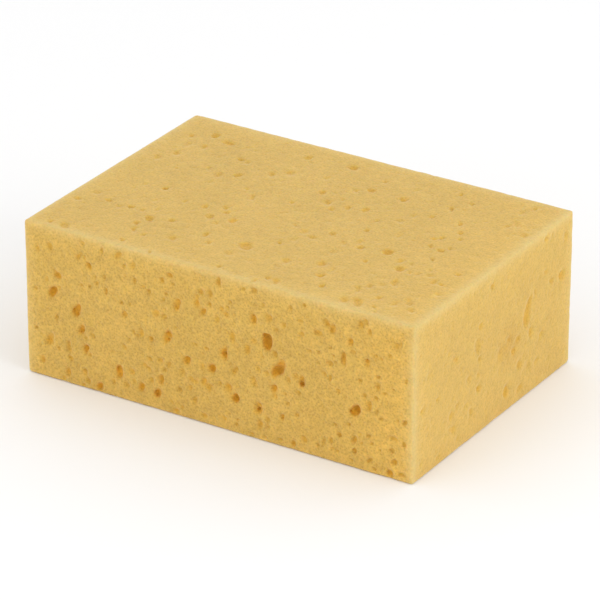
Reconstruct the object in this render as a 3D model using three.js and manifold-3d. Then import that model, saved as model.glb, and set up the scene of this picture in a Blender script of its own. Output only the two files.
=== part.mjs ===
// Block sponge for washing grout off tiled floors: one cut block of coarse open-cell foam.
// Frame: millimetres, +X along the length, +Y across the width, +Z up.
// The origin is the centre of the bottom face, and the long face at -Y is the front.

import * as THREE from 'three';
import { RoundedBoxGeometry } from 'three/addons/geometries/RoundedBoxGeometry.js';
import { mergeVertices } from 'three/addons/utils/BufferGeometryUtils.js';
import Module from 'manifold-3d';

// Block
const LENGTH = 160;
const WIDTH = 110;
const HEIGHT = 60;
const EDGE_RADIUS = 0.6;
const EDGE_STEPS = 2;

// Open pores
const PORE_SIDES = 9;
const PORE_RINGS = 6;
const PORE_SINK = 0.4;
const PORE_MIN_WIDTH = 2.2;
const PORE_MAX_WIDTH = 3.4;
const TALL_STRETCH = [1.2, 1.9];
const ROUND_STRETCH = [1, 1.3];
const PORE_LEAN_DEGREES = [-5, 18];
const PORE_EDGE_CLEARANCE = 6;
const PORE_SPACING = 9;
const MOUNT_CLEARANCE = 14;
const PLACING_TRIES = 4000;
const SEED = 20;

// Pores of the front face: across, up, width, height and lean in degrees, from the face's centre.
const FRONT_PORES = [
  [26, 0, 3.8, 7.6, 26],
  [21.5, 9, 4.2, 6, 8],
  [57, -8, 3.6, 5.2, 22],
  [-1.5, -7.5, 3.2, 4.2, 15],
  [-12, -7.5, 2.9, 4.6, 8],
  [8, -16.5, 3.3, 4.2, 30],
  [-24, -23.5, 2.9, 4.8, 12],
  [-31, -22.5, 2.5, 3.2, 0],
  [-40, -19.5, 3.2, 5.4, 4],
  [-54.5, -14.5, 2.8, 5, 14],
  [-56, -7, 2.8, 4.4, 12],
  [-58, 0, 3.2, 6.6, 20],
  [-68, 4.5, 3.6, 5.8, 10],
  [-70, -14, 3.2, 6.6, 12],
  [-49, -27.5, 2.6, 3.4, 12],
  [-52, 19, 2.6, 3, 0],
  [-40, 26, 2.5, 4.4, 24],
  [-15.5, 13.5, 3, 5.4, 18],
  [-5, 13.5, 2.6, 3.6, 12],
  [-19.5, 0, 2.4, 5.4, 28],
  [4, 0, 2.6, 6, 10],
  [16, 16, 2.6, 5, 12],
  [24, -8.5, 2.6, 3.4, 5],
  [35.5, -2, 2.6, 4.6, 5],
  [48, 20.5, 3, 4.8, 14],
  [54.8, 18, 2.4, 4.4, 8],
  [59, 25.5, 2.5, 3.8, 8],
  [61.5, 11.5, 2.4, 4, 10],
  [62.5, -4.5, 2.6, 4.2, 14],
  [66, 4, 2.4, 4.4, 8],
];

// Pores of the top face: along X, along Y, width, length and lean in degrees, from its centre.
const TOP_PORES = [
  [-2, -31.5, 5.4, 4.2, 0],
  [-43, -31, 2.8, 4, -20],
  [32, -37, 3.4, 3.6, 0],
  [42.5, -9.5, 3, 3.8, 0],
  [52.5, -18.5, 2.6, 3.6, -15],
  [24.7, 30.5, 3.2, 3.6, 0],
  [-5, 44, 4, 3.8, 0],
  [-62.5, 42, 2.6, 3.2, 0],
  [-26.5, 24, 3, 4.2, -20],
  [-66.5, 21.5, 3, 4.2, -20],
  [-42.5, 13.5, 2.6, 4.2, -20],
  [3, 14, 3.4, 3.8, -15],
  [49, -50, 3.2, 4.8, -25],
];

// Pores of the right-hand end: along Y, up, width, height and lean in degrees, from its centre.
const RIGHT_PORES = [
  [22.5, 3, 3, 9, 10],
  [-12, 5, 3, 6, 8],
  [-11, -12.5, 3, 3.2, 0],
  [8.5, -22, 3.4, 5, 0],
  [25.5, -6, 2.6, 5.4, 5],
  [47.5, 7.5, 3.2, 4.6, 0],
];

const wasm = await Module();
wasm.setup();

function toManifold(geometry) {
  const bare = geometry.clone();
  bare.deleteAttribute('normal');
  bare.deleteAttribute('uv');
  const merged = mergeVertices(bare, 1e-4);
  return new wasm.Manifold(new wasm.Mesh({
    numProp: 3,
    vertProperties: new Float32Array(merged.attributes.position.array),
    triVerts: new Uint32Array(merged.index.array),
  }));
}

function toGeometry(solid) {
  const mesh = solid.getMesh();
  const geometry = new THREE.BufferGeometry();
  geometry.setAttribute('position', new THREE.BufferAttribute(mesh.vertProperties, 3));
  geometry.setIndex(new THREE.BufferAttribute(mesh.triVerts, 1));
  geometry.computeVertexNormals();
  return geometry;
}

// Seeded uniform numbers from 0 to 1 (mulberry32), so that every build gives the same block.
function randomFrom(seed) {
  let state = seed;
  return () => {
    state = (state + 0x6d2b79f5) | 0;
    let t = Math.imul(state ^ (state >>> 15), 1 | state);
    t = (t + Math.imul(t ^ (t >>> 7), 61 | t)) ^ t;
    return ((t ^ (t >>> 14)) >>> 0) / 2 ** 32;
  };
}

// Each face has its centre, its half extents, unit vectors across it and up it, the pores listed
// for it, how many more are scattered over it, and how deep they are for their width.
const FACES = {
  front: {
    centre: [0, -WIDTH / 2, HEIGHT / 2],
    half: [LENGTH / 2, HEIGHT / 2],
    across: [1, 0, 0],
    up: [0, 0, 1],
    listed: FRONT_PORES,
    scattered: 0,
    depthToWidth: 0.65,
  },
  right: {
    centre: [LENGTH / 2, 0, HEIGHT / 2],
    half: [WIDTH / 2, HEIGHT / 2],
    across: [0, 1, 0],
    up: [0, 0, 1],
    listed: RIGHT_PORES,
    scattered: 0,
    depthToWidth: 0.4,
  },
  back: {
    centre: [0, WIDTH / 2, HEIGHT / 2],
    half: [LENGTH / 2, HEIGHT / 2],
    across: [-1, 0, 0],
    up: [0, 0, 1],
    listed: [],
    scattered: 30,
    depthToWidth: 0.65,
  },
  left: {
    centre: [-LENGTH / 2, 0, HEIGHT / 2],
    half: [WIDTH / 2, HEIGHT / 2],
    across: [0, -1, 0],
    up: [0, 0, 1],
    listed: [],
    scattered: 8,
    depthToWidth: 0.4,
  },
  top: {
    centre: [0, 0, HEIGHT],
    half: [LENGTH / 2, WIDTH / 2],
    across: [1, 0, 0],
    up: [0, 1, 0],
    listed: TOP_PORES,
    scattered: 0,
    depthToWidth: 0.33,
    mounting: true,
  },
  bottom: {
    centre: [0, 0, 0],
    half: [LENGTH / 2, WIDTH / 2],
    across: [1, 0, 0],
    up: [0, -1, 0],
    listed: [],
    scattered: 14,
    depthToWidth: 0.4,
    mounting: true,
  },
};

// Bubbles in rising foam are stretched along Z: tall in the four sides, round in the top and bottom.
function scatteredPores(face, random) {
  const placed = face.listed.map(([across, up]) => [across, up]);
  const stretches = face.up[2] === 0 ? ROUND_STRETCH : TALL_STRETCH;
  const pores = [];
  for (let i = 0; i < PLACING_TRIES && pores.length < face.scattered; i++) {
    const across = (random() * 2 - 1) * (face.half[0] - PORE_EDGE_CLEARANCE);
    const up = (random() * 2 - 1) * (face.half[1] - PORE_EDGE_CLEARANCE);
    const nearMount = face.mounting && Math.hypot(across, up) < MOUNT_CLEARANCE;
    const nearPore = placed.some(([a, u]) => Math.hypot(a - across, u - up) < PORE_SPACING);
    if (nearMount || nearPore) continue;
    const width = THREE.MathUtils.lerp(PORE_MIN_WIDTH, PORE_MAX_WIDTH, random() ** 2);
    const stretch = THREE.MathUtils.lerp(...stretches, random());
    const lean = THREE.MathUtils.lerp(...PORE_LEAN_DEGREES, random());
    placed.push([across, up]);
    pores.push([across, up, width, width * stretch, lean]);
  }
  return pores;
}

// A bubble whose centre lies a little below the face, so that its walls close in towards the mouth.
function poreSolid(face, [across, up, width, height, lean]) {
  const right = new THREE.Vector3(...face.across);
  const upward = new THREE.Vector3(...face.up);
  const outward = new THREE.Vector3().crossVectors(right, upward);
  const mouth = Math.sqrt(1 - PORE_SINK ** 2);
  const depth = (width * face.depthToWidth) / (1 + PORE_SINK);
  const centre = new THREE.Vector3(...face.centre)
    .addScaledVector(right, across)
    .addScaledVector(upward, up)
    .addScaledVector(outward, -depth * PORE_SINK);
  const place = new THREE.Matrix4()
    .makeBasis(right, upward, outward)
    .setPosition(centre);
  const shape = new THREE.Matrix4()
    .makeRotationZ(-THREE.MathUtils.degToRad(lean))
    .scale(new THREE.Vector3(width / 2 / mouth, height / 2 / mouth, depth));
  const bubble = new THREE.SphereGeometry(1, PORE_SIDES, PORE_RINGS);
  bubble.rotateX(Math.PI / 2);
  bubble.applyMatrix4(place.multiply(shape));
  return toManifold(bubble);
}

function foamBlock() {
  const random = randomFrom(SEED);
  const body = new RoundedBoxGeometry(LENGTH, WIDTH, HEIGHT, EDGE_STEPS, EDGE_RADIUS);
  body.translate(0, 0, HEIGHT / 2);
  const pores = Object.values(FACES).flatMap((face) =>
    [...face.listed, ...scatteredPores(face, random)].map((pore) => poreSolid(face, pore)));
  return toGeometry(pores.reduce((block, pore) => block.subtract(pore), toManifold(body)));
}

const foam = new THREE.MeshStandardMaterial({
  color: new THREE.Color().setRGB(0.86, 0.71, 0.41, THREE.SRGBColorSpace),
  roughness: 0.95,
  metalness: 0,
});

const block = new THREE.Mesh(foamBlock(), foam);
block.name = 'sponge_block';

const sponge = new THREE.Group();
sponge.add(block);

export default sponge;
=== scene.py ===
"""Grouting block sponge: one cut block of coarse open-cell foam, on a plain pale floor.

The foam's surface is made as a distance field on a regular grid. It starts from the CAD solid,
which holds the block and its largest pores, and gets ragged pore walls, smaller pores and a fine
unevenness. The zero level of the field is then meshed.
"""

import math
from collections import namedtuple

import bpy
import numpy as np
import openvdb as vdb
from mathutils import Matrix, Vector


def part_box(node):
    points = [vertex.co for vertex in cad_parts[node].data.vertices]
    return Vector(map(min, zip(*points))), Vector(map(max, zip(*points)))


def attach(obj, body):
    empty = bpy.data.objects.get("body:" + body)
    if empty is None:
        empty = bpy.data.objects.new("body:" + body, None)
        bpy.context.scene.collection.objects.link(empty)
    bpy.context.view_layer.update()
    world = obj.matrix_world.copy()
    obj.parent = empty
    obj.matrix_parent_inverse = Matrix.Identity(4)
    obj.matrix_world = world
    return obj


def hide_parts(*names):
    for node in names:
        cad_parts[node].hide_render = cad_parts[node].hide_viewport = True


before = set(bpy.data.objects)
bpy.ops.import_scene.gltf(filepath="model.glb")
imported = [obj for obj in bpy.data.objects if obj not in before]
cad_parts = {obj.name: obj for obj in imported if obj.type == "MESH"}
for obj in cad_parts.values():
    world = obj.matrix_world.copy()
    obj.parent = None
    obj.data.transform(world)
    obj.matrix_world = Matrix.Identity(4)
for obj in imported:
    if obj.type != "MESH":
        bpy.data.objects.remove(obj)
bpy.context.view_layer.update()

NODE = "sponge_block"
MM = 0.001
SEED = 7

# ---------------------------------------------------------------- the block, in millimetres

LOW, HIGH = (np.array(corner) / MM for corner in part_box(NODE))
CENTRE = (LOW + HIGH) / 2
HALF = (HIGH - LOW) / 2
EDGE_RADIUS = 0.6

# The distance field
VOXEL = 0.5
BORDER = 4  # voxels of empty space round the block
BAND = 3.0  # the field is cut off at this distance from the surface
BLUR_ROUNDS = 2

# What makes pores ragged: how far points are moved about, and the width of the moves in voxels.
WARPS = ((0.15, 5), (0.24, 3))
WARP_FADING = 4  # towards a face, moves into and out of it fade away over this distance

# The fine unevenness of the surface. In the pores more is added, starting at ROUGH_FROM below the
# faces and in full 1 mm further down.
ROUGHNESS = 0.022
ROUGHNESS_STEP = 2  # voxels
PORE_ROUGHNESS = 0.13
ROUGH_FROM = 0.3
WAVES = 0.05
WAVE_STEP = 24  # voxels

# Pores of the front, top and right faces, nearly all of them too small or too shallow for the CAD
# solid: how far across and up the face from its centre, width, height, lean in degrees and depth.
FRONT_PORES = (
    # to widen and lengthen some of the CAD solid's
    (26, 0, 3.2, 8.4, 28, 2.6), (-19.5, 0, 2.4, 5.4, 28, 1.6), (-49, -27.5, 2.6, 3.4, 12, 2.2),
    (-31, -22.5, 2.5, 3.2, 0, 1.8),
    # clear ones
    (-61.5, -15, 1.9, 4.2, 10, 0.8), (-61, -19.7, 1.8, 1.8, 0, 1.1), (-62.5, -25.5, 2, 3.6, 5, 1.0),
    (-54.5, -23.5, 2.2, 2.6, 5, 0.8), (-53.5, -26.5, 1.8, 2.4, 5, 1.1), (-66, 12, 2.8, 2.6, 0, 1.0),
    (-68.5, 22.5, 2, 2.4, 0, 0.8), (-45, 11, 1.6, 3, 0, 1.1), (-50, 15.5, 1.2, 2.6, 5, 0.9),
    (-7.5, 16, 2.2, 2.6, 0, 1.0), (7.5, 7, 2, 3, 0, 0.7), (-24, 8, 2.6, 3, 20, 1.0),
    (9, -4.7, 1.7, 1.8, 0, 1.2), (18, -17.5, 2.4, 4, 28, 1.1), (18.5, -24, 2.2, 4, 5, 1.2),
    (45.5, 22.5, 2.2, 2.8, 0, 1.0), (42, 17.5, 2.4, 3.8, -80, 1.0), (62.5, 24, 1.6, 2, 0, 1.1),
    (52.3, 11, 2.6, 4.6, 10, 1.1), (65, -0.6, 1.6, 2, 0, 0.8), (56.8, -18.5, 2.2, 3, 15, 1.2),
    (50.7, -18.8, 1.9, 2.2, 0, 1.1), (72.8, -23.4, 2.4, 2.8, 0, 1.1), (70.6, -28, 2.4, 2.6, 0, 1.2),
    (76.5, -7, 2, 3, 20, 1.0), (47.5, -22, 1.5, 2.8, 5, 1.1), (44.8, -22.5, 1.2, 4, 5, 0.9),
    (37, -24.5, 2, 2.8, 0, 0.9), (5.5, -13.5, 2.4, 4, 15, 1.0), (-26.5, -2.5, 1.8, 2, 0, 1.1),
    (-38.5, 8, 1.5, 2.2, 20, 1.2), (-18.5, 24.2, 2, 1.8, 0, 0.9), (-1, 21.5, 1.6, 2.6, 5, 0.9),
    (47, 2, 1.5, 3, 5, 0.9), (-4.7, -13.4, 1.8, 3, 20, 0.8), (-22.2, -17.6, 1.7, 3.4, 0, 0.9),
    (-8.4, -22.4, 1.6, 2.6, 20, 1.0), (-73.5, -23.3, 1.8, 2.8, 5, 1.0), (-57, 21, 1.5, 2.2, 0, 0.9),
    (-27, 15.5, 1.8, 1.8, 0, 0.9), (-37.5, 4, 2.2, 2.4, 0, 0.9), (-27, -10.5, 2, 1.6, 0, 0.9),
    (-9.5, -14, 1.4, 2.2, 10, 0.9), (-35, -18, 1.8, 2, 10, 0.9), (-13.5, -26, 1.2, 1.6, 5, 1.0),
    (25, 14.5, 1.6, 1.4, 0, 0.9), (25, 5.5, 2, 2.4, 0, 0.9), (18, -2.5, 1.2, 2, 5, 0.9),
    (34.5, -7, 1.6, 1.4, 0, 0.9), (27.5, -18.5, 1.7, 2.4, 5, 1.0), (9, -26.5, 1.4, 1.6, 0, 1.0),
    (15, -28.5, 1.6, 1.4, 0, 1.0), (65, 15, 1.2, 1.6, 0, 0.9), (47, 7.5, 2.2, 2.4, 0, 0.9),
    (45, 3, 1.4, 1.8, 0, 0.9), (66, 7.8, 1.6, 1.8, 0, 0.9), (76.5, -15.5, 1.8, 2.2, 0, 0.9),
    (57, -23, 1.9, 2.2, 0, 0.9), (63, -25.5, 1.7, 3, 35, 0.9), (22, -23.5, 1.2, 1.8, 0, 0.9),
    # faint ones
    (-74, 20, 1.6, 2, 0, 0.6), (-55, 27, 2.2, 1.6, 0, 0.6), (-47, 26, 1.4, 2.4, 5, 0.6),
    (-56, 22.5, 1.2, 1.8, 0, 0.6), (-54, 21.5, 1.2, 2, 20, 0.6), (-52.5, 23, 1, 1.4, 0, 0.7),
    (-49, 13, 2, 1.8, 0, 0.8), (-45.5, 16, 1.4, 2.2, 0, 0.6), (-52, 11, 1.4, 1.8, 0, 0.8),
    (-56, 11, 2.2, 1.2, 0, 0.5), (-70.5, 9, 1.2, 1.8, 0, 0.5), (-65.5, 7.5, 1.6, 1.4, 0, 0.5),
    (-76, 4.5, 1.8, 1.8, 0, 0.6), (-67, -4.5, 1.4, 2.2, 50, 0.6), (-51, -8, 1.6, 1.6, 0, 0.6),
    (-54, -9.5, 2, 1.2, 0, 0.5), (-75.5, -11, 2.2, 2, 0, 0.7), (-52.5, -16.5, 1.6, 1.6, 0, 0.6),
    (-68.5, -15.5, 1.6, 1.8, 0, 0.5), (-66, -17, 1.6, 2.2, 0, 0.6), (-42.5, -23.5, 1.4, 2, 10, 0.6),
    (-64.5, -28.5, 2, 1.4, 0, 0.6), (-55.5, -28.5, 1.6, 1.2, 0, 0.6), (-37, 22.5, 1.4, 1.8, 0, 0.8),
    (-33.5, 24, 2, 2.6, 10, 0.6), (-21.5, 21.5, 1.6, 2.2, 0, 0.7), (-17, 21, 1.2, 1.2, 0, 0.6),
    (-5.5, 20.5, 2.2, 1.8, 0, 0.7), (-7, 18.5, 1.8, 2, 0, 0.6), (-1.5, 17, 1.4, 1.4, 0, 0.6),
    (-33, 18, 1.5, 3, 5, 0.5), (-29.5, 17, 2.2, 1.4, 0, 0.6), (-20, 16.5, 1.8, 1.2, 0, 0.9),
    (-21, 14, 1.4, 1.8, 0, 0.6), (-20.5, 10.5, 1.4, 1, 0, 0.7), (-35, 8.5, 1.2, 1.2, 0, 0.6),
    (-20.5, 7.5, 2.4, 2.8, 0, 0.8), (-16, 4.5, 1.2, 1.2, 0, 0.7), (-30, -1.5, 2, 3, 0, 0.6),
    (-32, -3, 1.6, 1.4, 0, 0.8), (-34, -2, 1.2, 1.8, 0, 0.7), (-36, -5, 1.2, 1.2, 0, 0.6),
    (-38, -8.5, 2, 2, 0, 0.6), (-23, -9.5, 1.6, 1.8, 0, 0.7), (-19.5, -11, 2, 2.4, 0, 0.8),
    (-21, -13, 1.8, 2, 0, 0.6), (-29.5, -13.5, 1.8, 1.4, 0, 0.5), (-27.5, -14.5, 1.4, 1.4, 0, 0.5),
    (-5, -7, 1.6, 2.4, 10, 0.6), (-8, -0.5, 2, 1.2, 0, 0.5), (-3, 0, 1.2, 1.2, 0, 0.6),
    (-2.5, -15, 2, 2, 0, 0.8), (-8, -14.5, 1.4, 1.6, 0, 0.7), (-10.5, -17.5, 1.4, 2.2, 5, 0.7),
    (-13.5, -12.5, 2.2, 2, 0, 0.5), (-15, -19, 1.4, 1.4, 0, 0.7), (-26, -19, 1.6, 2.2, 5, 0.8),
    (-34, -21, 2.2, 1.6, 0, 0.6), (-37, -23.5, 1.8, 2, 0, 0.6), (-16, -28, 2, 1.6, 0, 0.8),
    (-18, -25, 1.4, 1.2, 0, 0.5), (-4.5, -27, 2.2, 1.6, 0, 0.6), (2, 27, 1.8, 3, 10, 0.7),
    (7, 20.5, 1.6, 1.4, 0, 0.8), (12, 26.5, 1.6, 1.4, 0, 0.5), (16.5, 27, 2, 2, 0, 0.6),
    (20, 22.5, 1.2, 2, 0, 0.6), (37, 27, 1.4, 1.6, 0, 0.7), (31.5, 24.5, 2, 2.4, 0, 0.5),
    (35, 20.5, 2.6, 1.2, 0, 0.5), (3, 16.5, 1.4, 1.8, 0, 0.7), (5.5, 18, 1.2, 1.4, 0, 0.6),
    (5, 15, 1.8, 1.6, 0, 0.6), (22, 18, 2.2, 2.6, 10, 0.6), (28.5, 17.5, 1.6, 2, 0, 0.6),
    (35.5, 16, 2.2, 2, 0, 0.8), (34.5, 14.5, 1.6, 1.4, 0, 0.6), (1, 12, 1.8, 2.2, 0, 0.6),
    (39, 10.5, 2.2, 1.2, 0, 0.6), (14, 4, 1.6, 2.2, 0, 0.8), (16, 7.5, 1.8, 1.6, 0, 0.5),
    (21.5, -3, 1.4, 1.6, 0, 0.6), (33, -1, 1.6, 2.2, 0, 0.6), (30, -3, 1.4, 2.2, 5, 0.6),
    (16, -8, 1.8, 2.8, 0, 0.7), (25, -11, 1.6, 1.8, 0, 0.7), (28.5, -9, 1.4, 1.4, 0, 0.5),
    (2.5, -12, 1.2, 1.4, 0, 0.6), (8, -6, 1.8, 1.8, 0, 0.7), (30, -12.5, 1.6, 1.6, 0, 0.8),
    (34, -16, 1.8, 2, 0, 0.6), (21.5, -21, 1.8, 2, 0, 0.6), (26.5, -27, 1.6, 1.2, 0, 0.6),
    (9.5, -24.5, 1.2, 1.4, 0, 0.6), (4, -25.5, 2, 1.8, 0, 0.6), (32, -27.5, 2.2, 2.2, 0, 0.8),
    (21, -28, 1.4, 1.2, 0, 0.6), (61, 27, 1.8, 1.8, 0, 0.6), (60.5, 23, 1, 1.4, 0, 0.7),
    (73, 21, 1.6, 2.4, 5, 0.7), (74.5, 22, 1.2, 1.8, 0, 0.6), (70.5, 17, 1.6, 2.2, 50, 0.8),
    (67, 14.5, 1.6, 1.2, 0, 0.6), (56, 14.5, 2.4, 1.6, 0, 0.6), (47, 13.5, 1.2, 1.2, 0, 0.6),
    (48, 11.5, 1.2, 1.2, 0, 0.6), (42.5, 10.5, 1.2, 1.4, 0, 0.7), (43, 6.5, 1.4, 1.2, 0, 0.7),
    (49, 9, 1.2, 1.4, 0, 0.5), (59, 4, 1.6, 1.8, 10, 0.7), (68.5, 2, 2, 1.4, 0, 0.6),
    (72, 4.5, 1.6, 1.4, 0, 0.5), (77, 9, 1.6, 2.4, 10, 0.5), (50.5, -2, 1.4, 1.8, 0, 0.8),
    (53.5, -3.5, 1.4, 1.2, 0, 0.5), (61, -1, 1.8, 2.2, 0, 0.7), (66, -5.5, 1.6, 2.6, 10, 0.7),
    (67.5, -8, 1.8, 1.4, 0, 0.8), (74, -7, 1.2, 2, 0, 0.6), (72, -14, 2, 2.2, 0, 0.7),
    (73.5, -14.5, 1.2, 1.8, 0, 0.6), (54.5, -14, 1.6, 1.4, 0, 0.7), (62.5, -16, 2.2, 1.6, 0, 0.7),
    (59, -16.5, 1.2, 1.6, 0, 0.7), (49.5, -15.5, 1.4, 1.2, 0, 0.7), (64, -18.5, 1.8, 1.4, 0, 0.6),
    (60, -19.5, 1.2, 1.2, 0, 0.6), (72, -19, 2.2, 2.2, 0, 0.6), (48, -25, 1.2, 1.2, 0, 0.7),
    (50, -25.5, 1.6, 1.6, 0, 0.7), (42.5, -25, 1.6, 1.4, 0, 0.6), (55.5, -27, 1.6, 1.6, 0, 0.6),
    (65, -28, 1.6, 1.2, 0, 0.8), (75.5, -27.5, 1.8, 1.4, 0, 0.8), (67.5, -20.5, 1.2, 1.2, 0, 0.6),
)
TOP_PORES = (
    # to widen some of the CAD solid's
    (-43, -31, 2.6, 3.8, -20, 1.6), (42.5, -9.5, 3, 3.6, 0, 1.5), (52.5, -18.5, 2.4, 3.4, -15, 1.4),
    (-62.5, 42, 2.4, 3, 0, 1.4),
    # clear ones
    (-64, -25.5, 3, 2.4, 0, 0.9), (-53.5, -26, 3.2, 2.4, 0, 0.8), (-74, -30.5, 3, 2.6, 0, 0.8),
    (-45, -36.5, 2, 3, -20, 0.9), (-42.5, -41, 1.6, 4, -28, 0.8), (-27.5, -40, 2.4, 3.4, 0, 0.8),
    (16, -34, 2.6, 2.6, 0, 0.8), (27.5, -29.5, 2, 3, 0, 0.9), (32, -11, 2.4, 2.4, 0, 0.9),
    (57.5, 1, 2.6, 2.6, 0, 0.9), (27.5, 2, 2.2, 3.4, 0, 1.0), (11, 31, 2.6, 2.6, 0, 0.9),
    (-23.5, 43, 2.6, 3, 0, 0.9), (-55, 39, 4.6, 2.4, 0, 0.7), (-36.3, 16.5, 2.2, 2.6, 0, 0.8),
    (-2.5, 20.5, 2.2, 4, -10, 1.0), (7.5, 10, 2, 3.6, -30, 0.8), (17.5, 16, 2, 3.6, 0, 1.0),
    (11.5, 14, 2.4, 2.4, 0, 0.8), (-43.5, 29, 1.7, 2, 0, 0.9), (-52, -6.5, 2.8, 2.8, 0, 1.0),
    (-60, -8, 2.4, 2.6, 0, 0.8), (-31.5, -11.5, 2.4, 3.2, 0, 0.9), (-26, -18, 2.6, 2.8, 0, 0.8),
    (-17, -17, 2.2, 3, 0, 0.9), (-65, -50.5, 2.4, 3.6, -30, 1.0), (54, -49, 2.6, 6, -35, 1.0),
    (48.5, -40, 2, 4, -25, 0.9), (36.7, -44, 2, 2.6, 0, 1.0), (21.5, -50, 2.2, 3.6, -30, 0.9),
    (40, 45, 2, 4, -10, 0.8), (47, 40, 2.4, 3, 0, 0.8), (43, 32.5, 1.8, 5, -30, 0.9),
    (18, -7, 1.8, 2.4, 15, 0.9), (40.5, 23, 2, 3.4, 0, 0.7), (-70, 14, 2, 4, -20, 0.7),
    # faint ones
    (-62, -12.5, 1.2, 3, -20, 0.5), (-40, -12, 1.6, 3, 0, 0.5), (-49.5, -17, 2, 3, -20, 0.5),
    (-44.5, -22.5, 2, 3, -15, 0.5), (-71.5, -22.5, 3.6, 2.6, 0, 0.4), (-58, -27.5, 2, 3, -20, 0.5),
    (-48.5, -26.5, 1.8, 3, -25, 0.7), (-35.5, -28, 2.6, 2.2, 0, 0.7), (-37, -43, 2, 2, 0, 0.6),
    (-41, -50, 2, 2, -30, 0.7), (-71.5, -51, 1.6, 2, 0, 0.6), (-27.5, -53, 1.4, 2.4, -30, 0.6),
    (-23, -12, 2.4, 2.4, 0, 0.7), (-25, -9, 1.6, 3, -20, 0.5), (-21, -21.5, 1.2, 3, -30, 0.5),
    (-19, -31, 1.6, 2.8, -15, 0.7), (-14, -36, 1.4, 2.8, -30, 0.6), (-4, -39, 2, 3, 0, 0.4),
    (-1, -50, 2, 2, 0, 0.5), (3.5, -8, 1.4, 3, -20, 0.6), (9, -11, 3, 2.6, 0, 0.5),
    (14, -13.5, 2.4, 2, 0, 0.5), (9.5, -18, 1.4, 3, -20, 0.5), (6.5, -23, 1.2, 2, -30, 0.6),
    (26, -20, 2, 2.6, 0, 0.5), (25.5, -11, 2, 3, -20, 0.5), (18, -49, 1.6, 1.6, 0, 0.6),
    (15, -53, 1.4, 2.4, 0, 0.6), (30, -7.5, 2, 3, 0, 0.5), (39, -20, 1.4, 1.8, 0, 0.6),
    (49.5, -13, 1.4, 2.6, 0, 0.5), (54, -13.5, 1.4, 3, -25, 0.5), (58.5, -7, 1.4, 4, -25, 0.7),
    (62, -14, 1.6, 3, -20, 0.5), (57, -19.5, 1.2, 2.4, -20, 0.5), (60, -19, 1.4, 2, 0, 0.5),
    (64, -18, 2.4, 2.4, 0, 0.5), (68, -22, 2, 3.4, 0, 0.6), (71, -22, 1.8, 1.6, 0, 0.6),
    (72, -12, 1.4, 2.6, -20, 0.7), (57, -29, 1.8, 3.6, -25, 0.7), (54, -33, 1.8, 1.6, 0, 0.5),
    (74, -29.5, 2, 2.4, 0, 0.6), (33.5, -32, 1.6, 2.6, -30, 0.6), (51, -35.5, 1.6, 3, -20, 0.5),
    (58, -42, 2, 2.6, 0, 0.6), (68.5, -39, 2, 6, -30, 0.7), (65, -42.5, 2.4, 3, 0, 0.5),
    (72.5, -44.5, 3, 3, 0, 0.7), (60, -49, 1.4, 2, 0, 0.5), (62.5, -52, 1.6, 2, 0, 0.6),
    (-70, 37, 1.6, 3, -25, 0.6), (-67, 29.5, 2, 3, 0, 0.5), (-61, 31.5, 1.6, 3, -20, 0.6),
    (-40, 28, 2.4, 2.4, 0, 0.5), (-48, 16, 1.6, 3, -30, 0.5), (-58, 10, 2, 1.6, 0, 0.6),
    (-41.5, 7, 1.6, 4, -25, 0.5), (-27.5, 8.5, 1.8, 1.8, 0, 0.8), (11, 39.5, 2, 3, -20, 0.5),
    (-8, 31.5, 2, 3, 0, 0.5), (-21.5, 28, 3, 3, 0, 0.5), (6.5, 27.5, 2, 2.6, 0, 0.5),
    (6.5, 19, 1.4, 3, -25, 0.6), (-22, 3, 1.8, 4, -25, 0.6), (-8, 8, 1.4, 2, 0, 0.5),
    (26, 10, 1.4, 3, -20, 0.6), (25, 39.5, 1.8, 3, 0, 0.5), (34.5, 20.5, 2, 3, 0, 0.5),
    (32.5, 14.5, 2, 3, -20, 0.5), (52, 23.5, 1.6, 3, -20, 0.6), (56, 17, 1.6, 2.4, 0, 0.6),
    (58, 12.5, 2, 2, 0, 0.6), (52, 10, 1.8, 3, 0, 0.8), (50, 8, 1.8, 2, 0, 0.7),
    (39, 3.5, 2, 4, -25, 0.5), (52.5, 2.5, 1.4, 3, -25, 0.6), (59, 4.5, 1.6, 3, -20, 0.6),
    (69, 33.5, 2.2, 4, -25, 0.6), (76, 27, 2.6, 3, 0, 0.6), (67, 31, 1.2, 3, 0, 0.5),
    (68, 49, 1.6, 3, -15, 0.6), (63.5, 48, 1.6, 4, -25, 0.5), (65.5, 43, 2, 4, 0, 0.4),
)
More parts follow.
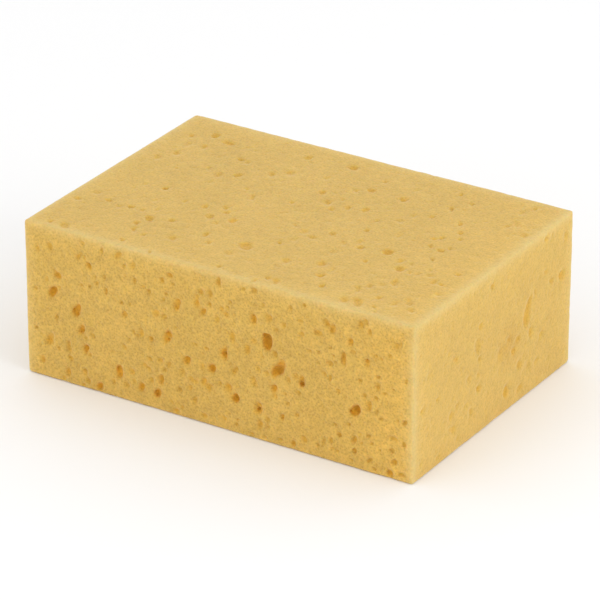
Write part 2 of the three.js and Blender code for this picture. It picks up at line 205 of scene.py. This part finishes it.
RIGHT_PORES = (
    # to lengthen and deepen the CAD solid's longest
    (23.3, 4.5, 1.8, 8.5, 22, 1.3), (22, 0.5, 2.4, 4, 10, 1.6),
    # clear ones
    (-10.5, 11.5, 3, 2.4, 0, 0.9), (33, -9.5, 2.8, 3.4, 10, 0.8), (28, 9, 2, 3.4, -40, 0.7),
    (39.5, 8.5, 2.6, 2, 0, 0.7), (4, -5, 4, 5, 5, 0.5), (23.5, -18.5, 4, 3.2, 0, 0.6),
    (-2.5, 23.5, 2.8, 2.4, 0, 0.7), (-49.5, -4, 3.4, 2.8, 0, 0.6), (18, -15, 2.6, 2.8, 0, 0.6),
    (-30, -14.5, 2.6, 2.4, 0, 0.6), (-38, -26.5, 2.8, 2, 0, 0.7), (49, 22.5, 3, 3.2, 0, 0.6),
    (-27, 6, 2, 3.8, -50, 0.7), (16.5, -4.5, 2.8, 2, 0, 0.7), (35, 27, 2, 2.4, 0, 0.7),
    # faint ones
    (-39, -4, 2, 1.2, 0, 0.5), (-44, 7, 3, 2, 0, 0.4), (-10.5, -1, 2.4, 2.4, 0, 0.6),
    (-11.5, -7, 2.4, 2, 0, 0.6), (-18, -5.5, 3, 2.6, 0, 0.5), (-26, -12, 1.6, 1.6, 0, 0.5),
    (-20, -15, 3, 1.6, 0, 0.5), (-16, -19, 2.4, 2.8, 0, 0.5), (-28.5, -20.5, 3, 2.2, 0, 0.5),
    (-25, -25.5, 2, 2.4, 0, 0.5), (-50, -24, 2, 2, 0, 0.4), (18.5, -25, 3.4, 2.6, 0, 0.5),
    (13.5, -8, 3, 2, 0, 0.5), (10, -1.5, 2.4, 2, 0, 0.5), (35.5, 14, 2.4, 1.6, 0, 0.5),
    (30, -18.5, 2.4, 2, 0, 0.5), (51.5, 26, 1.4, 2.6, 0, 0.5),
)

# Pores of the CAD solid whose floors lie higher: the face, how far across and up it from its
# centre, the reach of the filling and the new depth.
RAISED_FLOORS = (
    ("front", -70, -14, 4.5, 0.9), ("front", -15.5, 13.5, 3.5, 1.0),
    ("front", 62.5, -4.5, 2.8, 1.0), ("front", -40, -19.5, 4, 1.4), ("front", 48, 20.5, 3.5, 1.0),
    ("front", 59, 25.5, 3, 1.0), ("front", 66, 4, 3, 1.1), ("top", -2, -31.5, 4, 0.9),
    ("right", -12, 5, 4, 0.5), ("right", 8.5, -22, 4, 0.8),
)

# How a listed pore is cut
WIDER = 0.1  # added to each width and height, to make up for the grid's blurring
EVEN_DEPTH = 1.0  # the listed depths are drawn towards this one,
EVENING = 0.35  # by this share
NARROWEST = 0.55  # a pore is at most this deep for its width
SINK = 0.4  # how far below the face the bubble's centre lies, as a share of the bubble's radius
RIM = 0.3  # a pore's rim is rounded over about this width

# What happens to the CAD solid's own pores below their mouths
CLOSING = 0.12  # their walls and floors close in by this much,
CLOSING_DEPTH = 0.7  # in full from this depth on

# Bubbles scattered over a face: spacing, least and most width, least and most stretch along the
# foam's rise, and how deep a bubble may go for its width. First the larger ones, for the faces
# without listed pores, and then the small ones.
BACK_PORES = (7, 1.2, 2.6, 1.2, 2.1, 0.56)
LEFT_PORES = (9, 1.8, 3.0, 1.2, 2.2, 0.36)
BOTTOM_PORES = (8, 1.2, 2.4, 1.4, 2.0, 0.5)
SIDE_BUBBLES = (2.4, 0.8, 1.3, 1.1, 1.8, 0.36)
END_BUBBLES = (3.4, 0.8, 1.2, 1.1, 1.8, 0.24)
BROAD_BUBBLES = (3.4, 0.8, 1.2, 1.1, 1.8, 0.26)
SHALLOWEST = 0.6  # the least share of that depth
EDGE_CLEARANCE = 1.5  # from a scattered bubble's centre to the edges of its face
RISE = np.array([0.2, 0.08, 1.0])  # the way that the foam rose, along which bubbles are stretched
SWAY = 0.12  # how much a bubble's own direction differs from it

# Pits: small bubbles cut into the floors and walls of the pores
PIT_START = 1.4  # where a pore is at least this deep,
PIT_REACH = 2.2  # and at most this deep
PIT_RADII = (0.4, 0.6)
PIT_LIFT = 0.4  # how far a pit's centre lies above the pore's floor, as a share of its radius
PIT_RIM = 0.2
PITS_PER_MM2 = 0.3

# Each face: unit vectors out of it, across it and up it, the pores listed for it, what their
# depths are multiplied by, and the kinds of bubble scattered over it.
Face = namedtuple("Face", "outward across up pores deepening scattered")
FACES = {
    "front": Face((0, -1, 0), (1, 0, 0), (0, 0, 1), FRONT_PORES, 0.96, [SIDE_BUBBLES]),
    "back": Face((0, 1, 0), (-1, 0, 0), (0, 0, 1), (), 1, [BACK_PORES, SIDE_BUBBLES]),
    "right": Face((1, 0, 0), (0, 1, 0), (0, 0, 1), RIGHT_PORES, 0.68, [END_BUBBLES]),
    "left": Face((-1, 0, 0), (0, -1, 0), (0, 0, 1), (), 1, [LEFT_PORES, END_BUBBLES]),
    "top": Face((0, 0, 1), (1, 0, 0), (0, 1, 0), TOP_PORES, 0.74, [BROAD_BUBBLES]),
    "bottom": Face((0, 0, -1), (1, 0, 0), (0, -1, 0), (), 1, [BOTTOM_PORES, BROAD_BUBBLES]),
}

# What the material is told about each face, by the axis that it lies across
COARSENESS = (0.7, 1.0, 0.75)  # the long sides are the roughest
# Added to the distance from the +X end, which keeps its painted glow of the key light off the ends
# and weak on top
END_GLOW_OFFSET = (100, 0, 8)

rng = np.random.default_rng(SEED)


def directions(face):
    """Unit vectors out of a face, across it and up it."""
    return np.array(face[:3], float)


def place_on(face, a, u, depth=0.0):
    """The point that lies this far across and up from a face's centre, and this far below it."""
    outward, across, up = directions(face)
    return CENTRE + outward * (HALF - depth) + a * across + u * up


def along(axis, values):
    """Values along one axis, shaped to be combined with a whole grid."""
    return values.reshape([-1 if i == axis else 1 for i in range(3)])


def rounded_box(x, y, z):
    """Distance from the uncut block's surface, negative inside."""
    q = [np.abs(v - c) - (h - EDGE_RADIUS) for v, c, h in zip((x, y, z), CENTRE, HALF)]
    outside = np.sqrt(sum(np.maximum(v, 0) ** 2 for v in q))
    inside = np.minimum(np.maximum(np.maximum(q[0], q[1]), q[2]), 0)
    return outside + inside - EDGE_RADIUS


def blurred(field, rounds):
    """A field averaged with its neighbours along each axis."""
    for _ in range(rounds):
        for axis in range(3):
            field = (np.roll(field, 1, axis) + 2 * field + np.roll(field, -1, axis)) / 4
    return field


def noise(shape, step):
    """Smooth noise of about unit size whose features are step voxels wide."""
    spare = 4  # cells round the edge
    coarse = rng.standard_normal([n // step + spare for n in shape]).astype(np.float32)
    coarse = blurred(coarse, 1)
    coarse /= coarse.std()
    for axis, n in enumerate(shape):
        at = np.arange(n) / step + 1
        low = at.astype(int)
        share = (at - low).astype(np.float32)
        share = along(axis, share * share * (3 - 2 * share))
        coarse = np.take(coarse, low, axis) * (1 - share) + np.take(coarse, low + 1, axis) * share
    return coarse


def cad_field():
    """Distance from the CAD solid's surface at each grid point, and the grid's three axes."""
    mesh = bpy.data.objects[NODE].data
    points = np.empty(len(mesh.vertices) * 3, np.float32)
    mesh.vertices.foreach_get("co", points)
    points = points.reshape(-1, 3) / MM
    mesh.calc_loop_triangles()
    triangles = np.empty(len(mesh.loop_triangles) * 3, np.int32)
    mesh.loop_triangles.foreach_get("vertices", triangles)
    start = np.floor(LOW / VOXEL).astype(int) - BORDER
    end = np.ceil(HIGH / VOXEL).astype(int) + BORDER + 1
    grid = vdb.FloatGrid.createLevelSetFromPolygons(
        points,
        triangles=triangles.reshape(-1, 3),
        transform=vdb.createLinearTransform(VOXEL),
        halfWidth=BAND / VOXEL,
    )
    field = np.empty(end - start, np.float32)
    grid.copyToArray(field, ijk=tuple(int(i) for i in start))
    axes = [(np.arange(s, e) * VOXEL).astype(np.float32) for s, e in zip(start, end)]
    return field, axes


def warped_space(axes):
    """Each grid point's place, moved about by a quarter of a millimetre or so, which makes pores
    ragged. A point near a face moves along it only, so that the face stays flat."""
    places = []
    size = [len(a) for a in axes]
    for axis, (a, middle, half) in enumerate(zip(axes, CENTRE, HALF)):
        share = np.clip((half - np.abs(a - middle)) / WARP_FADING, 0, 1)
        moved = sum(distance * noise(size, step) for distance, step in WARPS)
        places.append(along(axis, a) + along(axis, share) * moved)
    return places


def resampled(field, axes, places):
    """The field read at the moved places, where the surface is near."""
    near = np.abs(field) < BAND - VOXEL
    at = [(p[near] - a[0]) / VOXEL for p, a in zip(places, axes)]
    low = [np.clip(v.astype(int), 0, n - 2) for v, n in zip(at, field.shape)]
    share = [v - i for v, i in zip(at, low)]
    total = 0
    for corner in np.ndindex(2, 2, 2):
        weight = 1
        for f, step in zip(share, corner):
            weight = weight * (f if step else 1 - f)
        total = total + weight * field[tuple(i + step for i, step in zip(low, corner))]
    field = field.copy()
    field[near] = total
    return field


def spans_around(centre, reach, axes):
    """The part of the grid within reach of a point."""
    return tuple(
        slice(max(0, int((c - reach - a[0]) / VOXEL)), max(0, int((c + reach - a[0]) / VOXEL) + 2))
        for c, a in zip(centre, axes)
    )


def raised_floors(field, axes, inside):
    """Fills the pores listed in RAISED_FLOORS with foam, up to their new depths."""
    for name, a, u, reach, depth in RAISED_FLOORS:
        spans = spans_around(place_on(FACES[name], a, u), reach, axes)
        field[spans] = np.minimum(field[spans], depth - inside[spans])


def carve(field, axes, places, centre, units, radii, rim):
    """Takes an ellipsoid out of the solid, and rounds the hole's rim over about this width."""
    spans = spans_around(centre, max(radii) + rim + 2 * VOXEL, axes)
    local = [p[spans] - c for p, c in zip(places, centre)]
    scaled = [sum(g * v for g, v in zip(local, unit)) / r for unit, r in zip(units, radii)]
    bubble = (1 - np.sqrt(sum(s * s for s in scaled))) * min(radii)
    solid = field[spans]
    mixing = np.maximum(rim - np.abs(solid - bubble), 0) / rim
    field[spans] = np.maximum(solid, bubble) + mixing * mixing * rim / 4


def listed_pores(field, axes, places):
    """The pores listed for each face, each one a bubble cut open a little above its middle."""
    mouth = math.sqrt(1 - SINK**2)
    for face in FACES.values():
        outward, across, up = directions(face)
        for a, u, width, height, lean, depth in face.pores:
            c, s = math.cos(math.radians(lean)), math.sin(math.radians(lean))
            units = (c * across - s * up, s * across + c * up, outward)
            deep = (depth + EVENING * (EVEN_DEPTH - depth)) * face.deepening
            deep = min(deep, NARROWEST * min(width, height)) / (1 + SINK)
            radii = ((width + WIDER) / 2 / mouth, (height + WIDER) / 2 / mouth, deep)
            carve(field, axes, places, place_on(face, a, u, deep * SINK), units, radii, RIM)


def swaying_axes(across):
    """The unit axes of a bubble stretched roughly along the foam's rise, the long one last."""
    long = RISE / np.linalg.norm(RISE) + rng.normal(0, SWAY, 3)
    long /= np.linalg.norm(long)
    side = np.cross(long, across + 0.01)  # the 0.01 keeps the two from ever being parallel
    side /= np.linalg.norm(side)
    return side, np.cross(long, side), long


def scattered_pores(field, axes, places):
    """Bubbles at random places, cut open by each face."""
    for face in FACES.values():
        outward, across, up = directions(face)
        half_a, half_u = abs(across) @ HALF, abs(up) @ HALF
        for spacing, least, most, short, tall, depth in face.scattered:
            for _ in range(int(4 * half_a * half_u / spacing**2)):
                a = rng.uniform(-1, 1) * (half_a - EDGE_CLEARANCE)
                u = rng.uniform(-1, 1) * (half_u - EDGE_CLEARANCE)
                r = (least + (most - least) * rng.random() ** 2) / 2
                units = swaying_axes(across)
                radii = (r, r, r * rng.uniform(short, tall))
                reach = math.sqrt(sum((outward @ unit * rr) ** 2 for unit, rr in zip(units, radii)))
                sunk = 2 * r * depth * rng.uniform(SHALLOWEST, 1) - reach
                carve(field, axes, places, place_on(face, a, u, sunk), units, radii, RIM)


def pitted_walls(field, axes, places):
    """Pits cut into the pores, which leave their floors and walls as rough as foam."""
    for face in FACES.values():
        outward = directions(face)[0]
        axis = int(np.argmax(np.abs(outward)))
        inward = np.moveaxis(field, axis, 0)
        if outward[axis] > 0:
            inward = inward[::-1]
        empty = np.argmax(inward[: BORDER + int(PIT_REACH / VOXEL)] < 0, axis=0) - BORDER
        sunk = np.argwhere(empty * VOXEL > PIT_START)
        chosen = sunk[rng.random(len(sunk)) < PITS_PER_MM2 * VOXEL**2]
        for place in chosen:
            r = rng.uniform(*PIT_RADII)
            depth = empty[tuple(place)] * VOXEL
            centre = np.insert(place * VOXEL + np.delete([a[0] for a in axes], axis), axis, 0)
            centre[axis] = CENTRE[axis] + outward[axis] * (HALF[axis] - depth + PIT_LIFT * r)
            carve(field, axes, places, centre, np.eye(3), (r, r, r), PIT_RIM)


def outer_part(points, faces):
    """The faces of the largest connected surface, without specks cut free or closed off inside."""
    edges = np.concatenate([faces[:, (i, (i + 1) % 4)] for i in range(4)])
    label = np.arange(len(points))
    while True:
        low = np.minimum(label[edges[:, 0]], label[edges[:, 1]])
        new = label.copy()
        np.minimum.at(new, edges[:, 0], low)
        np.minimum.at(new, edges[:, 1], low)
        new = new[new]
        if (new == label).all():
            break
        label = new
    kept = label == np.bincount(label).argmax()
    index = np.cumsum(kept) - 1
    return points[kept], index[faces[kept[faces[:, 0]]]]


def foam_mesh():
    """The points and four-sided faces of the whole foam surface."""
    field, axes = cad_field()
    places = warped_space(axes)
    field = resampled(blurred(field, BLUR_ROUNDS), axes, places)
    inside = -rounded_box(*(along(axis, a) for axis, a in enumerate(axes))).astype(np.float32)
    field -= CLOSING * np.clip(inside / CLOSING_DEPTH, 0, 1)
    raised_floors(field, axes, inside)
    listed_pores(field, axes, places)
    scattered_pores(field, axes, places)
    pitted_walls(field, axes, places)
    sunk = np.clip(inside - ROUGH_FROM, 0, 1)
    field += noise(field.shape, ROUGHNESS_STEP) * (ROUGHNESS + PORE_ROUGHNESS * sunk)
    field += noise(field.shape, WAVE_STEP) * WAVES
    grid = vdb.FloatGrid(BAND)
    grid.copyFromArray(np.clip(field, -BAND, BAND))
    points, faces = grid.convertToQuads(0.0)
    points = points * VOXEL + [a[0] for a in axes]
    points, faces = outer_part(points, faces)
    points[:, 2] = np.maximum(points[:, 2], LOW[2])  # the underside lies flat on the floor
    return points, faces


def add_attribute(mesh, name, values):
    attribute = mesh.attributes.new(name, "FLOAT", "POINT")
    attribute.data.foreach_set("value", values.astype(np.float32))


def foam_block():
    """The foam as an object in metres, with what its material needs to know at each point."""
    points, faces = foam_mesh()
    mesh = bpy.data.meshes.new("foam_block")
    mesh.from_pydata(points * MM, [], faces)
    mesh.update()
    x, y, z = points.T
    add_attribute(mesh, "depth", -rounded_box(x, y, z))
    gaps = HALF - np.abs(points - CENTRE)
    nearest = np.argmin(gaps, axis=1)
    gaps[:, 2] = HIGH[2] - z  # the lower edges don't count
    add_attribute(mesh, "from_edge", np.maximum(np.sort(gaps, axis=1)[:, 1], 0))
    add_attribute(mesh, "coarse", np.take(COARSENESS, nearest))
    add_attribute(mesh, "from_lit_end", HIGH[0] - x + np.take(END_GLOW_OFFSET, nearest))
    mesh.shade_smooth()
    block = bpy.data.objects.new("foam_block", mesh)
    bpy.context.scene.collection.objects.link(block)
    return block


# ---------------------------------------------------------------- material

# Noise patterns: scale per metre, detail and roughness.
GRAIN = (1300, 4.0, 0.6)
MOTTLE = (320, 3.0, 0.6)
DRIFT = (700, 2.0, 0.5)
PATCHES = (35, 3.0, 0.5)
NOISE_RANGE = (0.3, 0.7)  # where nearly all of a noise pattern's values lie
CELL_SCALE = 1150
CELL_SMOOTHNESS = 0.3
CELL_DRIFT = 0.0007  # how far the cells are moved about, in metres

# Colours, linear, and the distances in mm over which the painted key light near the +X end and the
# paler edges fade
FOAM_DULL = (0.588, 0.374, 0.082, 1)
FOAM_BRIGHT = (0.618, 0.396, 0.091, 1)
# painted light: the foam warmer and brighter near the +X end, where the key light falls
PAINTED_END_GLOW = (0.72, 0.435, 0.086, 1)
END_GLOW_REACH = 14.0
# part wear, part painted light: the foam paler towards the edges, where light scatters through the
# thin foam; a wide band, then blotchy colours for smooth and rough faces
EDGE_WEAR_AND_GLOW = (0.665, 0.423, 0.092, 1)
EDGE_GLOW_REACH = 5.0
WORN_AND_LIT_SMOOTH = (0.63, 0.50, 0.212, 1)
WORN_AND_LIT_ROUGH = (0.68, 0.515, 0.205, 1)
WEAR_AND_GLOW_REACH = 1.8
WEAR_AND_GLOW_BLOTCHES = 0.8  # the least share of the wear

# Painted shade in the pores, darker and more orange deeper down: the depths in mm where each colour
# starts and is full, its share there on the roughest faces, the part of that which is left at the
# coarseness SMOOTHEST, and the colour.
PORE_SHADE_COLOURS = (
    (0.12, 0.7, 0.8, 0.85, (0.61, 0.355, 0.055, 1)),
    (0.5, 1.4, 1.0, 0.4, (0.62, 0.31, 0.025, 1)),
    (1.4, 2.2, 1.0, 1.0, (0.52, 0.25, 0.016, 1)),
)
SMOOTHEST = 0.65

# A faint amber stain on the right-hand end: across and up on the face in mm, the radii in metres
# where it is full and gone, its strength, and what it multiplies the colour by.
STAIN_PLACE = (10, -4)
STAIN_RADII = (0.001, 0.013)
STAIN_STRENGTH = 0.8
STAIN_TINT = (0.93, 0.87, 0.74, 1)

# What the fine patterns do: random mottling and grain, and painted shade in the cells' hollow
# middles with a painted highlight on their walls. The pattern, its values where the change starts
# and is full, the change's strength, and what it multiplies the colour by.
FINE_TONES_AND_CELL_SHADE = (
    ("mottle", 0.5, 0.68, 0.35, (1.2, 1.2, 1.2, 1)),
    ("mottle", 0.5, 0.32, 0.35, (0.8, 0.8, 0.8, 1)),
    ("grain", 0.5, 0.66, 0.34, (1.26, 1.26, 1.26, 1)),
    ("grain", 0.5, 0.34, 0.34, (0.74, 0.74, 0.74, 1)),
    # painted highlight on the cells' walls, and painted shade in their hollow middles
    ("cells", 0.5, 0.75, 0.3, (1.16, 1.16, 1.16, 1)),
    ("cells", 0.5, 0.2, 0.38, (0.66, 0.6, 0.5, 1)),
)
FINE_AT_EDGES = 0.5  # the patterns' strength at an edge, rising to 1 over
FINE_REACH = 4.0  # this many mm

# Bumps
BUMP_CELLS = (0.2, 0.6)  # the cells' values between which the surface rises
BUMP_GRAIN = 0.5  # the grain's height, as a share of the cells'
BUMP_STRENGTH = 0.4
BUMP_HEIGHT = 0.00015  # metres


class Nodes:
    """A short way of adding nodes to a material and joining them."""

    def __init__(self, material):
        material.use_nodes = True
        self.tree = material.node_tree
        self.tree.nodes.clear()

    def add(self, kind, inputs=None, **settings):
        node = self.tree.nodes.new("ShaderNode" + kind)
        for name, value in settings.items():
            setattr(node, name, value)
        for name, value in (inputs or {}).items():
            socket = node.inputs[name]
            if isinstance(value, bpy.types.NodeSocket):
                self.tree.links.new(value, socket)
            else:
                socket.default_value = value
        return node

    def noise(self, coords, scale, detail, rough, output="Fac"):
        values = {"Vector": coords, "Scale": scale, "Detail": detail, "Roughness": rough}
        return self.add("TexNoise", values).outputs[output]

    def cells(self, coords, scale, smooth):
        values = {"Vector": coords, "Scale": scale, "Smoothness": smooth}
        return self.add("TexVoronoi", values, feature="SMOOTH_F1").outputs["Distance"]

    def ramp(self, value, low, high, to_low=0.0, to_high=1.0):
        """A value turned from one range into another, with a smooth start and end."""
        values = {"Value": value, "From Min": low, "From Max": high}
        values.update({"To Min": to_low, "To Max": to_high})
        return self.add("MapRange", values, interpolation_type="SMOOTHSTEP").outputs[0]

    def fading(self, distance, reach):
        """1 at no distance, falling off exponentially over reach."""
        return self.math("EXPONENT", self.math("MULTIPLY", distance, -1 / reach))

    def math(self, operation, *values):
        return self.add("Math", dict(enumerate(values)), operation=operation).outputs[0]

    def vector_math(self, operation, *values):
        return self.add("VectorMath", dict(enumerate(values)), operation=operation)

    def mix(self, share, a, b, blend="MIX"):
        values = {0: share, 6: a, 7: b}  # sockets 6 and 7, and output 2, are the ones for colours
        return self.add("Mix", values, data_type="RGBA", blend_type=blend).outputs[2]

    def attribute(self, name):
        return self.add("Attribute", attribute_name=name).outputs["Fac"]


def fine_patterns(nodes, coords):
    """The foam's fine structure: mottling, cells bent out of shape, and grain."""
    drift = nodes.noise(coords, *DRIFT, output="Color")
    bent = nodes.vector_math("MULTIPLY_ADD", drift, (CELL_DRIFT, CELL_DRIFT, CELL_DRIFT), coords)
    return {
        "mottle": nodes.noise(coords, *MOTTLE),
        "cells": nodes.cells(bent.outputs[0], CELL_SCALE, CELL_SMOOTHNESS),
        "grain": nodes.noise(coords, *GRAIN),
    }


def worn_and_lit_edges(nodes, foam, patches, from_edge, coarse):
    """The foam's colour, paler in blotches along the edges: part wear, part painted light
    scattering through the thin edges.
    """
    blotches = nodes.ramp(patches, *NOISE_RANGE, WEAR_AND_GLOW_BLOTCHES, 1.0)
    paling = nodes.math("MULTIPLY", nodes.fading(from_edge, WEAR_AND_GLOW_REACH), blotches)
    rough = nodes.ramp(coarse, min(COARSENESS), max(COARSENESS))
    return nodes.mix(paling, foam, nodes.mix(rough, WORN_AND_LIT_SMOOTH, WORN_AND_LIT_ROUGH))


def shaded_by_depth(nodes, foam, depth, coarse):
    """The foam's colour with painted shade in the pores, darker deeper down, where less light comes
    out again.
    """
    for start, full, strength, on_smoothest, colour in PORE_SHADE_COLOURS:
        on_face = nodes.ramp(coarse, SMOOTHEST, 1.0, on_smoothest, 1.0)
        at_depth = nodes.ramp(depth, start, full, 0.0, strength)
        foam = nodes.mix(nodes.math("MULTIPLY", on_face, at_depth), foam, colour)
    return foam


def stained(nodes, foam, coords):
    middle = place_on(FACES["right"], *STAIN_PLACE) * MM
    distance = nodes.vector_math("DISTANCE", coords, middle).outputs["Value"]
    share = nodes.ramp(distance, *STAIN_RADII, STAIN_STRENGTH, 0.0)
    return nodes.mix(share, foam, STAIN_TINT, "MULTIPLY")


def finely_changed(nodes, foam, patterns, from_edge, coarse):
    """The foam's colour with its fine mottling and grain, and the painted shade and highlights of
    its cells, less of it on smooth faces and near edges.
    """
    at_edges = nodes.ramp(from_edge, 0.0, FINE_REACH, FINE_AT_EDGES, 1.0)
    uneven = nodes.math("MULTIPLY", coarse, at_edges)
    for pattern, start, full, strength, change in FINE_TONES_AND_CELL_SHADE:
        changed = nodes.ramp(patterns[pattern], start, full, 0.0, strength)
        foam = nodes.mix(nodes.math("MULTIPLY", uneven, changed), foam, change, "MULTIPLY")
    return foam


def foam_colour(nodes, coords, patterns):
    from_edge = nodes.attribute("from_edge")
    coarse = nodes.attribute("coarse")
    patches = nodes.noise(coords, *PATCHES)
    foam = nodes.mix(nodes.ramp(patches, *NOISE_RANGE), FOAM_DULL, FOAM_BRIGHT)
    # painted light: warmer and brighter towards the +X end, where the key light falls
    foam = nodes.mix(nodes.fading(nodes.attribute("from_lit_end"), END_GLOW_REACH), foam, PAINTED_END_GLOW)
    # part wear, part painted light: paler towards the edges
    foam = nodes.mix(nodes.fading(from_edge, EDGE_GLOW_REACH), foam, EDGE_WEAR_AND_GLOW)
    foam = worn_and_lit_edges(nodes, foam, patches, from_edge, coarse)
    # painted shade: darker and more orange deeper in the pores
    foam = shaded_by_depth(nodes, foam, nodes.attribute("depth"), coarse)
    foam = stained(nodes, foam, coords)
    return finely_changed(nodes, foam, patterns, from_edge, coarse)


def foam_bump(nodes, patterns):
    grain = nodes.math("MULTIPLY", patterns["grain"], BUMP_GRAIN)
    height = nodes.math("ADD", nodes.ramp(patterns["cells"], *BUMP_CELLS), grain)
    height = nodes.math("MULTIPLY", height, nodes.attribute("coarse"))
    values = {"Height": height, "Strength": BUMP_STRENGTH, "Distance": BUMP_HEIGHT}
    return nodes.add("Bump", values).outputs[0]


def foam_material():
    material = bpy.data.materials.new("foam")
    nodes = Nodes(material)
    coords = nodes.add("TexCoord").outputs["Object"]
    patterns = fine_patterns(nodes, coords)
    shader = nodes.add(
        "BsdfPrincipled",
        {
            "Base Color": foam_colour(nodes, coords, patterns),
            "Roughness": nodes.ramp(patterns["grain"], *NOISE_RANGE, 0.85, 1.0),
            "Normal": foam_bump(nodes, patterns),
            "Specular IOR Level": 0.15,
            "Subsurface Weight": 0.45,
            "Subsurface Radius": (1.0, 0.55, 0.2),
            "Subsurface Scale": 0.002,
            "Sheen Weight": 0.25,
            "Sheen Roughness": 0.5,
            "Sheen Tint": (1.0, 0.97, 0.9, 1),
        },
    )
    nodes.add("OutputMaterial", {"Surface": shader.outputs[0]})
    return material


block = foam_block()
block.data.materials.append(foam_material())
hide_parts(NODE)
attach(block, "root")

# ---------------------------------------------------------------- floor, light and camera

# In metres, and angles in degrees: azimuth from -Y towards +X, elevation from the floor
FLOOR_RADIUS = 6.0
FLOOR_SIDES = 96
FLOOR_COLOUR = (0.93, 0.93, 0.93, 1)
FLOOR_ROUGHNESS = 0.9
LIGHT_SIZE = 0.8
LIGHT_DISTANCE = 1.2
CAMERA_AZIMUTH = 32.19
CAMERA_ELEVATION = 26.12
CAMERA_DISTANCE = 1.4812
CAMERA_SHIFT = (0.00021, -0.00309)  # to the right and up
CAMERA_RANGE = 50
LENS = 250  # mm, as is the sensor
SENSOR_WIDTH = 36


def plain_material(name, colour, roughness):
    material = bpy.data.materials.new(name)
    nodes = Nodes(material)
    shader = nodes.add("BsdfPrincipled", {"Base Color": colour, "Roughness": roughness})
    nodes.add("OutputMaterial", {"Surface": shader.outputs[0]})
    return material


def floor():
    turns = [2 * math.pi / FLOOR_SIDES * i for i in range(FLOOR_SIDES)]
    ring = [(FLOOR_RADIUS * math.cos(turn), FLOOR_RADIUS * math.sin(turn), 0) for turn in turns]
    mesh = bpy.data.meshes.new("floor")
    mesh.from_pydata(ring, [], [range(FLOOR_SIDES)])
    mesh.materials.append(plain_material("floor", FLOOR_COLOUR, FLOOR_ROUGHNESS))
    plane = bpy.data.objects.new("floor", mesh)
    bpy.context.scene.collection.objects.link(plane)


def facing_block(azimuth, elevation, distance, shift=(0.0, 0.0)):
    """The matrix of a light or camera that looks at the block's middle from these angles and this
    distance, and is then moved sideways and up by shift."""
    a, e = math.radians(azimuth), math.radians(elevation)
    back = Vector((math.sin(a) * math.cos(e), -math.cos(a) * math.cos(e), math.sin(e)))
    right = Vector((math.cos(a), math.sin(a), 0))
    up = back.cross(right)
    place = Vector(CENTRE * MM) + back * distance + right * shift[0] + up * shift[1]
    turn = Matrix((right, up, back)).transposed().to_4x4()
    return Matrix.Translation(place) @ turn


def soft_light(name, azimuth, elevation, power):
    lamp = bpy.data.lights.new(name, "AREA")
    lamp.shape = "DISK"
    lamp.size = LIGHT_SIZE
    lamp.energy = power
    holder = bpy.data.objects.new(name, lamp)
    holder.matrix_world = facing_block(azimuth, elevation, LIGHT_DISTANCE)
    bpy.context.scene.collection.objects.link(holder)


def surroundings():
    """An evenly white world, and colours shown as they are."""
    world = bpy.data.worlds.new("studio")
    world.use_nodes = True
    background = world.node_tree.nodes["Background"]
    background.inputs["Color"].default_value = (1, 1, 1, 1)
    background.inputs["Strength"].default_value = 1.0
    scene = bpy.context.scene
    scene.world = world
    scene.view_settings.view_transform = "Standard"


def camera():
    lens = bpy.data.cameras.new("camera")
    lens.sensor_width = SENSOR_WIDTH
    lens.lens = LENS
    lens.clip_end = CAMERA_RANGE
    holder = bpy.data.objects.new("camera", lens)
    holder.matrix_world = facing_block(
        CAMERA_AZIMUTH, CAMERA_ELEVATION, CAMERA_DISTANCE, CAMERA_SHIFT
    )
    bpy.context.scene.collection.objects.link(holder)
    bpy.context.scene.camera = holder


surroundings()
floor()
soft_light("key", azimuth=85, elevation=25, power=3.1)
soft_light("fill", azimuth=-15, elevation=20, power=1.46)
camera()
